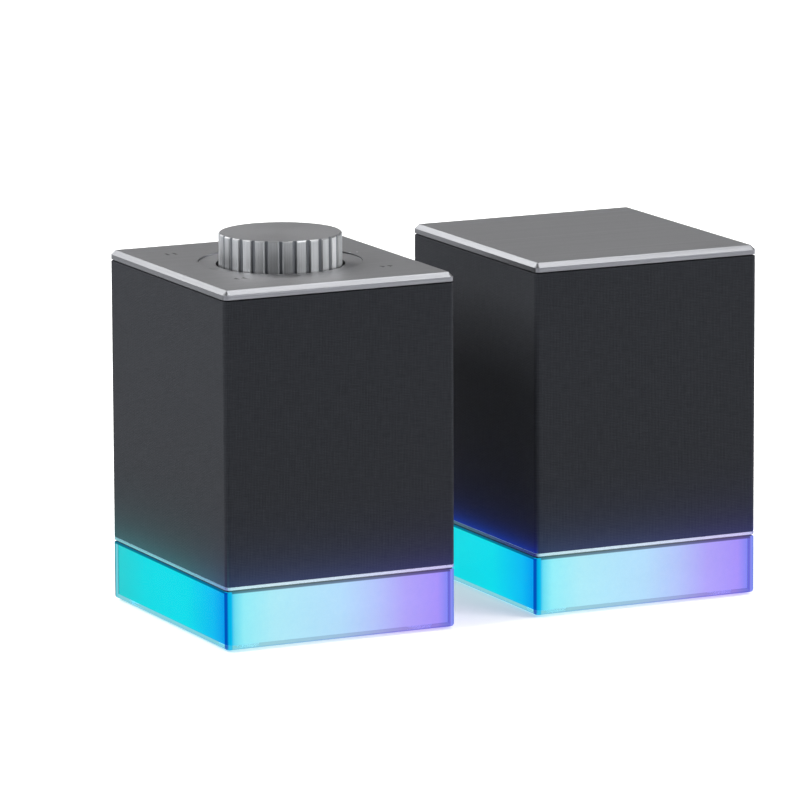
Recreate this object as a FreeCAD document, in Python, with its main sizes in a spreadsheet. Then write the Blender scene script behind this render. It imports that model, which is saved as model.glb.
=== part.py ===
import FreeCAD, Part

import math
import os
import re

import Sketcher

# A pair of desktop speakers: two boxes in fabric sleeves under aluminium plates, each on a clear
# light base. The left one carries the volume knob, the amplifier and the input sockets.
# Millimetres, +Z up, each speaker faces -Y. The origin is on the desk, at the centre of the pair.

DIMENSIONS = {
    # the two boxes
    "box_width": 91,
    "box_depth": 102,
    "corner_radius": 1.8,
    "pair_pitch": 124.9,
    "pair_setback": 2.4,
    # feet and light base
    "foot_height": 0.8,
    "foot_radius": 5,
    "foot_inset": 11,
    "cover_height": 21.3,
    "cover_round": 1.2,
    "cover_wall": 2,
    "cover_floor": 1.6,
    "diffuser_wall": 1.5,
    "fit_gap": 0.1,
    "shadow_gap": 0.8,
    "deck_plug": 2,
    "trim_height": 1,
    "trim_width": 1.5,
    "rib_height": 3,
    "rib_width": 2,
    # sleeve, grille shell and top plate
    "body_height": 104.1,
    "plate_thickness": 3.3,
    "plate_chamfer": 1.6,
    "plate_gap": 0.5,
    "sleeve_thickness": 0.9,
    "shell_wall": 1.6,
    "grille_hole": 2,
    "grille_pitch": 6,
    # cabinet
    "cabinet_width": 80,
    "cabinet_depth": 88,
    "cabinet_wall": 2.5,
    "cabinet_radius": 4,
    "tray_depth": 9,
    "tray_boss_height": 2,
    "tray_boss_offset": 20,
    "cable_hole": 3,
    "cable_hole_depth": 30,
    "cable_reach": 8,
    "wire_radius": 0.7,
    # circuit boards and screws
    "board_thickness": 1.6,
    "light_board_inset": 7,
    "light_board_width": 8,
    "led_side": 3.5,
    "led_height": 1.4,
    "led_pitch": 16,
    "screw_radius": 1.5,
    "screw_length": 12,
    "screw_head_radius": 2.8,
    "screw_head_height": 2,
    "screw_room": 0.2,
    "base_screw_x": 33,
    "base_screw_y": 36,
    "base_boss_radius": 5,
    "boss_depth": 9,
    "standoff_radius": 2.5,
    "standoff_height": 7.5,
    "standoff_x": 18,
    "amplifier_front": 2,
    # loudspeaker driver, from its mounting face
    "driver_height": 76,
    "driver_opening": 24,
    "flange_half": 26.5,
    "flange_thickness": 1.2,
    "flange_radius": 6,
    "driver_screw": 22,
    "driver_boss_radius": 3.4,
    "basket_mouth": 22.4,
    "basket_neck": 14,
    "basket_depth": 11.4,
    "basket_lip": 2,
    "steel_gauge": 1,
    "window_radius": 3,
    "pole_radius": 7.6,
    "coil_radius": 8,
    "former_wall": 0.25,
    "winding_wall": 0.35,
    "magnetic_gap": 0.3,
    "washer_radius": 15,
    "washer_thickness": 2.5,
    "magnet_bore": 10,
    "magnet_radius": 16,
    "magnet_thickness": 6,
    "cone_radius": 19.2,
    "cone_apex": 4.9,
    "cone_wall": 0.4,
    "cap_radius": 9.4,
    "cap_sphere": 18,
    "spider_radius": 16.4,
    "spider_depth": 8,
    "spider_wall": 0.3,
    "spider_wave": 0.6,
    "roll_centre": 21,
    "roll_radius": 1.7,
    "rubber_wall": 0.4,
    "rim_width": 1.1,
    # passive radiator
    "radiator_opening": 22,
    "radiator_centre": 20.5,
    "radiator_plate": 18.7,
    "radiator_weight": 9,
    # sockets
    "panel_half": 27.5,
    "panel_low": 28,
    "panel_high": 44,
    "panel_face": 50.8,
    "panel_wall": 1.5,
    "usb_half_width": 4.5,
    "usb_half_height": 1.6,
    "usb_length": 7.3,
    "usb_skin": 0.3,
    "usb_tongue": 0.35,
    "socket_pitch": 15,
    "jack_radius": 3,
    "jack_bore": 1.8,
    "jack_length": 13,
    "jack_half": 3.2,
    # volume knob and its encoder
    "knob_radius": 22.5,
    "knob_rise": 10.7,
    "knob_sink": 1.7,
    "knob_chamfer": 0.45,
    "knob_wall": 2.5,
    "knob_roof": 2.2,
    "flute_count": 27,
    "flute_radius": 1.3,
    "flute_depth": 0.6,
    "flute_turn": 5.6,  # degrees
    "knob_hole": 23.6,
    "dish_radius": 30,
    "dish_edge": 0.5,
    "dish_depth": 0.9,
    "insert_flange": 2,
    "insert_hub": 5.5,
    "shaft_radius": 3,
    "shaft_flat": 1.5,
    "shaft_play": 0.04,
    "encoder_half": 6.2,
    "encoder_height": 5,
    "encoder_floor": 1,
    "rotor_radius": 4,
    "rotor_flange": 5,
    "rotor_flange_height": 1.1,
    "rotor_play": 0.05,
    "rotor_rise": 0.8,
    "press_room": 1.3,
}

# Places that follow from the driving dimensions, each written with their names.
DERIVED = {
    "half_width": "box_width / 2",
    "half_depth": "box_depth / 2",
    "foot_x": "half_width - foot_inset",
    "foot_y": "half_depth - foot_inset",
    "cover_top": "foot_height + cover_height",
    "floor_top": "foot_height + cover_floor",
    "cover_inside": "cover_wall + fit_gap",
    "diffuser_inside": "cover_inside + diffuser_wall",
    "diffuser_top": "cover_top - fit_gap",
    "plug_inset": "diffuser_inside + fit_gap",
    "plug_bottom": "cover_top - deck_plug",
    "trim_bottom": "cover_top + shadow_gap",
    "deck_top": "trim_bottom + trim_height",
    "plate_bottom": "deck_top + body_height",
    "plate_top": "plate_bottom + plate_thickness",
    "sleeve_top": "plate_bottom - plate_gap",
    "shell_outside": "sleeve_thickness + fit_gap",
    "shell_inside": "shell_outside + shell_wall",
    "rib_outside": "shell_inside + fit_gap",
    "cabinet_half_width": "cabinet_width / 2",
    "cabinet_half_depth": "cabinet_depth / 2",
    "tray_floor": "plate_bottom - tray_depth",
    "chamber_top": "tray_floor - cabinet_wall",
    "light_board_bottom": "plug_bottom - board_thickness",
    "screw_hole": "screw_radius + screw_room",
    "amplifier_bottom": "deck_top + standoff_height",
    "amplifier_top": "amplifier_bottom + board_thickness",
    "amplifier_back": "cabinet_half_depth - cabinet_wall - 1",
    "amplifier_tongue": "cabinet_half_depth + 1.5",
    "socket_height": "amplifier_top + usb_half_height",
    "panel_centre": "(panel_low + panel_high) / 2",
    "panel_half_height": "(panel_high - panel_low) / 2",
    "window_half": "panel_half - 2.5",
    "former_radius": "coil_radius + former_wall",
    "winding_radius": "former_radius + winding_wall",
    "washer_bore": "winding_radius + magnetic_gap",
    "washer_back": "basket_depth + steel_gauge + washer_thickness",
    "magnet_back": "washer_back + magnet_thickness",
    "yoke_back": "magnet_back + washer_thickness",
    "control_bottom": "tray_floor + tray_boss_height",
    "control_top": "control_bottom + board_thickness",
    "encoder_top": "control_top + encoder_height",
    "rotor_bottom": "control_top + encoder_floor + 0.6",
    "neck_bottom": "rotor_bottom + rotor_flange_height",
    "knob_bottom": "plate_top - knob_sink",
    "knob_top": "plate_top + knob_rise",
    "knob_ceiling": "knob_top - knob_roof",
    "insert_bottom": "knob_bottom + 1",
}

SIDES = {"left": -1, "right": 1}
TURN_FORWARD = FreeCAD.Rotation(FreeCAD.Vector(1, 0, 0), 90)
TURN_BACKWARD = FreeCAD.Rotation(FreeCAD.Vector(1, 0, 0), -90)
CORNERS = [(-1, -1), (1, -1), (1, 1), (-1, 1)]

doc = FreeCAD.newDocument("desktop_speakers")
sizes = doc.addObject("Spreadsheet::Sheet", "Sizes")
for row, (alias, size) in enumerate(DIMENSIONS.items(), start=1):
    sizes.set(f"A{row}", alias)
    sizes.set(f"B{row}", str(size))
    sizes.setAlias(f"B{row}", alias)
doc.recompute()

pieces = []


def formula(text):
    """Spells out a formula of named sizes as an expression on the sheet."""

    def spell(match):
        word = match.group(0)
        if word in DERIVED:
            return f"({formula(DERIVED[word])})"
        if word in DIMENSIONS:
            return f"Sizes.{word}"
        return word

    return re.sub(r"[a-z_]+", spell, str(text))


def number(text):
    """The present value of a formula of named sizes."""
    return float(sizes.evalExpression(formula(text)))


def bind(item, prop, text):
    item.setExpression(prop, formula(text))


def finish(item, label, side, y=0, z=0, turn=None):
    """Names a finished piece and moves it from its own frame to its speaker."""
    item.Label = label
    base = FreeCAD.Vector(0, 0, 0)
    item.Placement = FreeCAD.Placement(base, turn or FreeCAD.Rotation())
    bind(item, "Placement.Base.x", f"{SIDES[side]} * pair_pitch / 2")
    bind(item, "Placement.Base.y", f"{SIDES[side]} * pair_setback / 2 + ({y})")
    bind(item, "Placement.Base.z", z)
    pieces.append(item)
    doc.recompute()


# ---- sketches: every point is held by a named size --------------------------------------------


def hold(sketch, kind, references, text):
    """Adds a dimension to a sketch and binds it to a formula."""
    index = sketch.addConstraint(Sketcher.Constraint(kind, *references, number(text)))
    name = f"size_{index}"
    sketch.renameConstraint(index, name)
    bind(sketch, f"Constraints.{name}", text)


def hold_point(sketch, line, end, x, y):
    """Holds one end of a line, or a centre, at (x, y) from the sketch's origin."""
    for kind, axis, text in (("DistanceX", -2, x), ("DistanceY", -1, y)):
        if abs(number(text)) < 1e-9:
            sketch.addConstraint(Sketcher.Constraint("PointOnObject", line, end, axis))
        else:
            hold(sketch, kind, (-1, 1, line, end), text)


def draw_circle(sketch, x, y, radius):
    centre = FreeCAD.Vector(number(x), number(y), 0)
    circle = sketch.addGeometry(Part.Circle(centre, FreeCAD.Vector(0, 0, 1), number(radius)))
    hold_point(sketch, circle, 3, x, y)
    hold(sketch, "Radius", (circle,), radius)


def draw_outline(sketch, points):
    """A closed outline of straight lines through the points."""
    places = [FreeCAD.Vector(number(x), number(y), 0) for x, y in points]
    lines = []
    for start, end in zip(places, places[1:] + places[:1]):
        lines.append(sketch.addGeometry(Part.LineSegment(start, end)))
    for line, following in zip(lines, lines[1:] + lines[:1]):
        sketch.addConstraint(Sketcher.Constraint("Coincident", line, 2, following, 1))
    for line, (x, y) in zip(lines, points):
        hold_point(sketch, line, 1, x, y)


def draw_rectangle(sketch, half_x, half_y, x="0", y="0"):
    points = [(f"({x}) + {i} * ({half_x})", f"({y}) + {j} * ({half_y})") for i, j in CORNERS]
    draw_outline(sketch, points)


def draw_rounded(sketch, half_x, half_y, radius, x="0", y="0"):
    """A rectangle whose corners are arcs tangent to its sides."""
    sides = []
    arcs = []
    for (i, j), (k, l) in zip(CORNERS, CORNERS[1:] + CORNERS[:1]):
        along_x, along_y = (k - i) / 2, (l - j) / 2
        ends = []
        for p, q, way in ((i, j, 1), (k, l, -1)):
            end_x = f"({x}) + {p} * ({half_x}) + {way * along_x} * ({radius})"
            end_y = f"({y}) + {q} * ({half_y}) + {way * along_y} * ({radius})"
            ends.append((end_x, end_y))
        vectors = [FreeCAD.Vector(number(px), number(py), 0) for px, py in ends]
        line = sketch.addGeometry(Part.LineSegment(*vectors))
        for end, (px, py) in enumerate(ends, start=1):
            hold_point(sketch, line, end, px, py)
        sides.append(line)
    size = number(radius)
    for quarter, (i, j) in enumerate(CORNERS[1:] + CORNERS[:1]):
        centre_x = number(f"({x}) + {i} * (({half_x}) - ({radius}))")
        centre_y = number(f"({y}) + {j} * (({half_y}) - ({radius}))")
        circle = Part.Circle(FreeCAD.Vector(centre_x, centre_y, 0), FreeCAD.Vector(0, 0, 1), size)
        start = (quarter - 1) * math.pi / 2
        arcs.append(sketch.addGeometry(Part.ArcOfCircle(circle, start, start + math.pi / 2)))
    for side, arc, following in zip(sides, arcs, sides[1:] + sides[:1]):
        sketch.addConstraint(Sketcher.Constraint("Tangent", side, 2, arc, 1))
        sketch.addConstraint(Sketcher.Constraint("Coincident", arc, 2, following, 1))


class Piece:
    """One separate piece, made as a body whose features follow each other."""

    def __init__(self, name):
        self.name = name
        self.body = doc.addObject("PartDesign::Body", name)
        self.body.AllowCompound = True

    def origin(self, role):
        return next(item for item in self.body.Origin.OriginFeatures if item.Role == role)

    def sketch(self, plane="XY", offset=0):
        """A sketch on one of the body's origin planes, moved along that plane's normal."""
        sketch = self.body.newObject("Sketcher::SketchObject", f"{self.name}_sketch")
        sketch.AttachmentSupport = (self.origin(f"{plane}_Plane"), [""])
        sketch.MapMode = "FlatFace"
        bind(sketch, "AttachmentOffset.Base.z", offset)
        return sketch

    def feature(self, kind, sketch):
        before = self.body.Shape.Volume if self.body.Tip else 0
        feature = self.body.newObject(f"PartDesign::{kind}", f"{self.name}_{kind.lower()}")
        feature.Profile = sketch
        sketch.Visibility = False
        return feature, before

    def check(self, before, grows):
        doc.recompute()
        change = self.body.Shape.Volume - before
        if change * (1 if grows else -1) <= 0:
            raise RuntimeError(f"{self.name}: a feature changed nothing, {change:.3f} mm3")

    def pad(self, sketch, length, reverse=False):
        feature, before = self.feature("Pad", sketch)
        feature.Reversed = reverse
        bind(feature, "Length", length)
        self.check(before, True)
        return feature

    def pocket(self, sketch, length, reverse=False):
        feature, before = self.feature("Pocket", sketch)
        feature.Reversed = reverse
        bind(feature, "Length", length)
        self.check(before, False)
        return feature

    def revolve(self, sketch, cut=False):
        feature, before = self.feature("Groove" if cut else "Revolution", sketch)
        feature.ReferenceAxis = (sketch, ["V_Axis"])
        feature.Angle = 360
        self.check(before, not cut)
        return feature

    def dress_edges(self, kind, feature, level, prop, size):
        """Chamfers or fillets every edge that lies flat at one level of the feature."""
        edges = []
        for index, edge in enumerate(feature.Shape.Edges, start=1):
            box = edge.BoundBox
            if abs(box.ZMin - level) < 1e-6 and abs(box.ZMax - level) < 1e-6:
                edges.append(f"Edge{index}")
        dressing = self.body.newObject(f"PartDesign::{kind}", f"{self.name}_{kind.lower()}")
        dressing.Base = (feature, edges)
        bind(dressing, prop, size)
        self.check(feature.Shape.Volume, False)

    def chamfer_top(self, feature, size):
        self.dress_edges("Chamfer", feature, feature.Shape.BoundBox.ZMax, "Size", size)

    def round_bottom(self, feature, size):
        self.dress_edges("Fillet", feature, feature.Shape.BoundBox.ZMin, "Radius", size)

    def repeat_round(self, feature, count):
        """Repeats a feature evenly around the body's Z axis."""
        pattern = self.body.newObject("PartDesign::PolarPattern", f"{self.name}_pattern")
        pattern.Originals = [feature]
        pattern.Axis = (self.origin("Z_Axis"), [""])
        pattern.Angle = 360
        bind(pattern, "Occurrences", count)
        self.body.Tip = pattern
        doc.recompute()
        return pattern


def draw_tube(sketch, outside, inside, radius="corner_radius"):
    """Two rounded rectangles, inset from the box's outline by outside and inside."""
    for inset in (outside, inside):
        draw_rounded(
            sketch,
            f"half_width - ({inset})",
            f"half_depth - ({inset})",
            f"max({radius} - ({inset}); 0.5)",
        )


def draw_four(sketch, x, y, radius):
    """The same circle at the four corners of a rectangle."""
    for i, j in CORNERS:
        draw_circle(sketch, f"{i} * ({x})", f"{j} * ({y})", radius)


# ---- light base -------------------------------------------------------------------------------


def build_feet(side):
    piece = Piece(f"{side}_feet")
    sketch = piece.sketch()
    draw_four(sketch, "foot_x", "foot_y", "foot_radius")
    piece.pad(sketch, "foot_height")
    finish(piece.body, piece.name, side)


def build_light_cover(side):
    """Clear open-topped box that surrounds the diffuser."""
    piece = Piece(f"{side}_light_cover")
    outline = piece.sketch(offset="foot_height")
    draw_rounded(outline, "half_width", "half_depth", "corner_radius")
    block = piece.pad(outline, "cover_height")
    piece.round_bottom(block, "cover_round")
    inside = piece.sketch(offset="cover_top")
    draw_rounded(inside, "half_width - cover_wall", "half_depth - cover_wall", "0.8")
    piece.pocket(inside, "cover_height - cover_floor")
    finish(piece.body, piece.name, side)


def build_light_diffuser(side):
    """Opal open-topped box that spreads the light."""
    piece = Piece(f"{side}_light_diffuser")
    outline = piece.sketch(offset="floor_top")
    draw_rounded(outline, "half_width - cover_inside", "half_depth - cover_inside", "0.7")
    piece.pad(outline, "diffuser_top - floor_top")
    inside = piece.sketch(offset="diffuser_top")
    draw_rectangle(inside, "half_width - diffuser_inside", "half_depth - diffuser_inside")
    piece.pocket(inside, "diffuser_top - floor_top - diffuser_wall")
    finish(piece.body, piece.name, side)


def build_light_board(side):
    """Ring-shaped circuit board under the deck."""
    piece = Piece(f"{side}_light_board")
    sketch = piece.sketch(offset="light_board_bottom")
    draw_tube(sketch, "light_board_inset", "light_board_inset + light_board_width")
    for i, j in CORNERS:
        draw_circle(sketch, f"{i} * base_screw_x", f"{j} * base_screw_y", "screw_hole")
    piece.pad(sketch, "board_thickness")
    finish(piece.body, piece.name, side)


def build_leds(side):
    """Colour LEDs on the underside of the light board, in a row along each edge."""
    piece = Piece(f"{side}_leds")
    sketch = piece.sketch(offset="light_board_bottom")
    inset = "(light_board_inset + light_board_width / 2)"
    for way in (-1, 1):
        for step in (-1.5, -0.5, 0.5, 1.5):
            x = f"{way} * (half_width - {inset} + 1.5)"
            draw_rectangle(sketch, "led_side / 2", "led_side / 2", x, f"{step} * led_pitch")
        for step in (-1, 0, 1):
            y = f"{way} * (half_depth - {inset})"
            draw_rectangle(sketch, "led_side / 2", "led_side / 2", f"{step} * led_pitch", y)
    piece.pad(sketch, "led_height", reverse=True)
    finish(piece.body, piece.name, side)


# ---- deck, cabinet and covers -----------------------------------------------------------------


def build_mid_deck(side):
    """Moulded deck that closes the cabinet and plugs into the light diffuser."""
    piece = Piece(f"{side}_mid_deck")
    plug = piece.sketch(offset="plug_bottom")
    draw_rectangle(plug, "half_width - plug_inset", "half_depth - plug_inset")
    piece.pad(plug, "deck_plug")
    lip = piece.sketch(offset="cover_top")
    draw_rounded(lip, "half_width - shadow_gap", "half_depth - shadow_gap", "1")
    piece.pad(lip, "shadow_gap")
    shelf = piece.sketch(offset="trim_bottom")
    shelf_inset = "(trim_width + fit_gap)"
    draw_rounded(shelf, f"half_width - {shelf_inset}", f"half_depth - {shelf_inset}", "0.5")
    piece.pad(shelf, "trim_height")
    rib = piece.sketch(offset="deck_top")
    for inset in ("rib_outside", "(rib_outside + rib_width)"):
        draw_rounded(rib, f"half_width - {inset}", f"half_depth - {inset}", "0.5")
    piece.pad(rib, "rib_height")
    standoffs = piece.sketch(offset="deck_top")
    draw_circle(standoffs, "-standoff_x", "amplifier_back - 5", "standoff_radius")
    draw_circle(standoffs, "standoff_x", "amplifier_back - 5", "standoff_radius")
    if side == "left":
        draw_circle(standoffs, "-standoff_x", "amplifier_front + 5", "standoff_radius")
        draw_circle(standoffs, "standoff_x", "amplifier_front + 5", "standoff_radius")
    piece.pad(standoffs, "standoff_height")
    holes = piece.sketch(offset="deck_top")
    draw_four(holes, "base_screw_x", "base_screw_y", "screw_hole")
    draw_circle(holes, "0", "-cable_hole_depth", "cable_hole")
    piece.pocket(holes, "deck_top - plug_bottom + 1")
    finish(piece.body, piece.name, side)


def build_trim_ring(side):
    piece = Piece(f"{side}_trim_ring")
    sketch = piece.sketch(offset="trim_bottom")
    draw_tube(sketch, "0", "trim_width")
    piece.pad(sketch, "trim_height")
    finish(piece.body, piece.name, side)


def build_cabinet(side):
    """Moulded acoustic box, open below, with a tray for the controls above its roof."""
    piece = Piece(f"{side}_cabinet")
    outline = piece.sketch(offset="deck_top")
    draw_rounded(outline, "cabinet_half_width", "cabinet_half_depth", "cabinet_radius")
    piece.pad(outline, "body_height")
    hollow_x = "cabinet_half_width - cabinet_wall"
    hollow_y = "cabinet_half_depth - cabinet_wall"
    hollow_radius = "cabinet_radius - cabinet_wall"
    chamber = piece.sketch(offset="deck_top")
    draw_rounded(chamber, hollow_x, hollow_y, hollow_radius)
    piece.pocket(chamber, "chamber_top - deck_top", reverse=True)
    tray = piece.sketch(offset="plate_bottom")
    draw_rounded(tray, hollow_x, hollow_y, hollow_radius)
    piece.pocket(tray, "tray_depth")
    tray_bosses = piece.sketch(offset="tray_floor")
    draw_four(tray_bosses, "tray_boss_offset", "tray_boss_offset", "standoff_radius")
    piece.pad(tray_bosses, "tray_boss_height")
    base_bosses = piece.sketch(offset="deck_top")
    draw_four(base_bosses, "base_screw_x", "base_screw_y", "base_boss_radius")
    piece.pad(base_bosses, "boss_depth + cabinet_wall")
    front_bosses = piece.sketch("XZ", "cabinet_half_depth - cabinet_wall")
    for i, j in CORNERS:
        height = f"driver_height + {j} * driver_screw"
        draw_circle(front_bosses, f"{i} * driver_screw", height, "driver_boss_radius")
    piece.pad(front_bosses, "boss_depth", reverse=True)
    base_pilots = piece.sketch(offset="deck_top")
    draw_four(base_pilots, "base_screw_x", "base_screw_y", "screw_radius")
    piece.pocket(base_pilots, "boss_depth", reverse=True)
    front = piece.sketch("XZ", "cabinet_half_depth")
    for i, j in CORNERS:
        height = f"driver_height + {j} * driver_screw"
        draw_circle(front, f"{i} * driver_screw", height, "screw_radius")
    piece.pocket(front, "boss_depth + cabinet_wall / 2 + 1")
    mouth = piece.sketch("XZ", "cabinet_half_depth")
    draw_circle(mouth, "0", "driver_height", "driver_opening")
    piece.pocket(mouth, "cabinet_wall + 0.1")
    back = piece.sketch("XZ", "-cabinet_half_depth")
    draw_circle(back, "0", "driver_height", "radiator_opening")
    window_height = "panel_half_height - 2"
    draw_rectangle(back, "window_half", window_height, "0", "panel_centre")
    piece.pocket(back, "cabinet_wall + 0.1", reverse=True)
    cable = piece.sketch(offset="tray_floor")
    draw_circle(cable, "0", "cable_hole_depth", "cable_hole")
    piece.pocket(cable, "cabinet_wall + 0.1")
    finish(piece.body, piece.name, side)


def cut_socket_window(piece):
    """Opening at the back for the socket panel."""
    window = piece.sketch("XZ", "-half_depth - 1")
    width = "panel_half + fit_gap"
    height = "panel_half_height + fit_gap"
    draw_rectangle(window, width, height, "0", "panel_centre")
    piece.pocket(window, "half_depth - cabinet_half_depth", reverse=True)


def build_grille_shell(side):
    """Stiff tube under the fabric, pierced in front of the driver and the radiator."""
    piece = Piece(f"{side}_grille_shell")
    outline = piece.sketch(offset="deck_top")
    draw_tube(outline, "shell_outside", "shell_inside")
    piece.pad(outline, "sleeve_top - deck_top")
    cut_socket_window(piece)
    holes = piece.sketch("XZ", "half_depth + 1")
    reach = number("basket_mouth / grille_pitch")
    steps = range(-int(reach), int(reach) + 1)
    for i in steps:
        for j in steps:
            if math.hypot(i, j) <= reach:
                height = f"driver_height + {j} * grille_pitch"
                draw_circle(holes, f"{i} * grille_pitch", height, "grille_hole")
    piece.pocket(holes, "box_depth + 2")
    finish(piece.body, piece.name, side)


def build_fabric_sleeve(side):
    piece = Piece(f"{side}_fabric_sleeve")
    outline = piece.sketch(offset="deck_top")
    draw_tube(outline, "0", "sleeve_thickness")
    piece.pad(outline, "sleeve_top - deck_top")
    cut_socket_window(piece)
    finish(piece.body, piece.name, side)


def build_top_plate(side):
    """Brushed plate with a cut edge. The left one has the knob's hole in a shallow dish."""
    piece = Piece(f"{side}_top_plate")
    outline = piece.sketch(offset="plate_bottom")
    draw_rounded(outline, "half_width", "half_depth", "corner_radius")
    slab = piece.pad(outline, "plate_thickness")
    piece.chamfer_top(slab, "plate_chamfer")
    if side == "left":
        dish = piece.sketch("XZ")
        draw_outline(
            dish,
            [
                ("0", "plate_bottom - 1"),
                ("knob_hole", "plate_bottom - 1"),
                ("knob_hole", "plate_top - dish_depth"),
                ("dish_radius", "plate_top - dish_edge"),
                ("dish_radius", "plate_top + 1"),
                ("0", "plate_top + 1"),
            ],
        )
        piece.revolve(dish, cut=True)
    finish(piece.body, piece.name, side)


def build_screws(side):
    """Equal pan-head screws: four hold the light board and deck, four hold the driver."""
    piece = Piece(f"{side}_screws")
    base_heads = piece.sketch(offset="light_board_bottom")
    draw_four(base_heads, "base_screw_x", "base_screw_y", "screw_head_radius")
    piece.pad(base_heads, "screw_head_height", reverse=True)
    base_shanks = piece.sketch(offset="light_board_bottom")
    draw_four(base_shanks, "base_screw_x", "base_screw_y", "screw_radius")
    piece.pad(base_shanks, "screw_length")
    for radius, length, reverse in (
        ("screw_head_radius", "screw_head_height", False),
        ("screw_radius", "screw_length", True),
    ):
        sketch = piece.sketch("XZ", "cabinet_half_depth + flange_thickness")
        for i, j in CORNERS:
            height = f"driver_height + {j} * driver_screw"
            draw_circle(sketch, f"{i} * driver_screw", height, radius)
        piece.pad(sketch, length, reverse)
    finish(piece.body, piece.name, side)


# ---- loudspeaker driver: +Z of its own frame points out of the box ----------------------------


def finish_driver(item, label, side):
    finish(item, label, side, y="-cabinet_half_depth", z="driver_height", turn=TURN_FORWARD)


def build_turned(side, label, *outlines):
    """A driver piece turned about its axis from (radius, height) outlines."""
    piece = Piece(f"{side}_{label}")
    sketch = piece.sketch("XZ")
    for points in outlines:
        draw_outline(sketch, points)
    piece.revolve(sketch)
    return piece


def draw_ring(inner, outer, low, high):
    return [(inner, low), (outer, low), (outer, high), (inner, high)]


def build_driver_basket(side):
    """Pressed steel frame with a square flange and four windows."""
    shell = [
        ("basket_mouth", "flange_thickness"),
        ("basket_mouth", "-basket_lip"),
        ("basket_neck", "-basket_depth"),
        ("washer_bore", "-basket_depth"),
        ("washer_bore", "-basket_depth - steel_gauge"),
        ("basket_neck + 0.6", "-basket_depth - steel_gauge"),
        ("basket_mouth + steel_gauge", "-basket_lip - 0.6"),
        ("basket_mouth + steel_gauge", "flange_thickness"),
    ]
    piece = build_turned(side, "driver_basket", shell)
    flange = piece.sketch()
    draw_rounded(flange, "flange_half", "flange_half", "flange_radius")
    draw_circle(flange, "0", "0", "basket_mouth + steel_gauge / 2")
    draw_four(flange, "driver_screw", "driver_screw", "screw_hole")
    piece.pad(flange, "flange_thickness")
    window = piece.sketch("XZ")
    draw_circle(window, "0", "-(basket_lip + basket_depth) / 2", "window_radius")
    slot = piece.pocket(window, "basket_mouth + 2", reverse=True)
    piece.repeat_round(slot, "4")
    finish_driver(piece.body, piece.name, side)


def build_motor(side):
    """Ferrite ring between a steel washer and the yoke that carries the pole."""
    magnet = build_turned(
        side,
        "driver_magnet",
        draw_ring("magnet_bore", "magnet_radius", "-magnet_back", "-washer_back"),
    )
    finish_driver(magnet.body, magnet.name, side)
    yoke = [
        ("0", "-yoke_back"),
        ("washer_radius", "-yoke_back"),
        ("washer_radius", "-magnet_back"),
        ("pole_radius", "-magnet_back"),
        ("pole_radius", "-basket_depth"),
        ("0", "-basket_depth"),
    ]
    washer_face = "-basket_depth - steel_gauge"
    washer = draw_ring("washer_bore", "washer_radius", "-washer_back", washer_face)
    steel = build_turned(side, "motor_steel", washer, yoke)
    finish_driver(steel.body, steel.name, side)


def build_voice_coil(side):
    """Former that carries the winding at its inner end and the cone at its outer end."""
    outline = [
        ("coil_radius", "-washer_back - 3"),
        ("former_radius", "-washer_back - 3"),
        ("former_radius", "-washer_back - 2"),
        ("winding_radius", "-washer_back - 2"),
        ("winding_radius", "-basket_depth + 1"),
        ("former_radius", "-basket_depth + 1"),
        ("former_radius", "-cone_apex + 0.6"),
        ("coil_radius", "-cone_apex + 0.6"),
    ]
    piece = build_turned(side, "voice_coil", outline)
    finish_driver(piece.body, piece.name, side)


def build_driver_cone(side):
    outline = [
        ("former_radius", "-cone_apex"),
        ("cone_radius - 0.8", "flange_thickness - cone_wall"),
        ("cone_radius", "flange_thickness - cone_wall"),
        ("cone_radius", "flange_thickness"),
        ("cone_radius - 1", "flange_thickness"),
        ("former_radius", "-cone_apex + cone_wall"),
    ]
    piece = build_turned(side, "driver_cone", outline)
    finish_driver(piece.body, piece.name, side)


def build_driver_spider(side):
    """Corrugated ring that centres the coil in the basket."""
    waves = 8
    lower = []
    for step in range(waves + 1):
        share = step / waves
        radius = f"former_radius + {share} * (spider_radius - former_radius)"
        lift = f"{step % 2} * spider_wave"
        lower.append((radius, f"-spider_depth + {lift}"))
    upper = [(radius, f"{height} + spider_wall") for radius, height in reversed(lower)]
    piece = build_turned(side, "driver_spider", lower + upper)
    finish_driver(piece.body, piece.name, side)


def make_primitive(kind, **sizes_of):
    item = doc.addObject(f"Part::{kind}", kind)
    for prop, text in sizes_of.items():
        bind(item, prop, text)
    return item


def join(kind, name, base, tool):
    item = doc.addObject(f"Part::{kind}", name)
    item.Base = base
    item.Tool = tool
    return item


def make_ring(inner, outer, low, height):
    """A flat ring about the Z axis."""
    disc = make_primitive("Cylinder", Radius=outer, Height=height)
    hole = make_primitive("Cylinder", Radius=inner, Height=height)
    for item in (disc, hole):
        bind(item, "Placement.Base.z", low)
    return join("Cut", "ring", disc, hole)


def build_surround(label, side, centre, seat):
    """Rubber half-roll with a flat rim on each side, seated at a height above the mounting face."""
    outer = make_primitive("Torus", Radius1=centre, Radius2="roll_radius")
    inner = make_primitive("Torus", Radius1=centre, Radius2="roll_radius - rubber_wall")
    for item in (outer, inner):
        item.Angle1 = -180
        item.Angle2 = 0
        bind(item, "Placement.Base.z", f"{seat} + rubber_wall")
    roll = join("Cut", "roll", outer, inner)
    inside = f"{centre} - roll_radius"
    outside = f"{centre} + roll_radius"
    inner_rim = make_ring(f"{inside} - rim_width", f"{inside} + rubber_wall", seat, "rubber_wall")
    outer_rim = make_ring(f"{outside} - rubber_wall", f"{outside} + rim_width", seat, "rubber_wall")
    rims = join("Fuse", "rims", inner_rim, outer_rim)
    surround = join("Fuse", f"{side}_{label}", roll, rims)
    surround.Refine = True
    return surround


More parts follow.
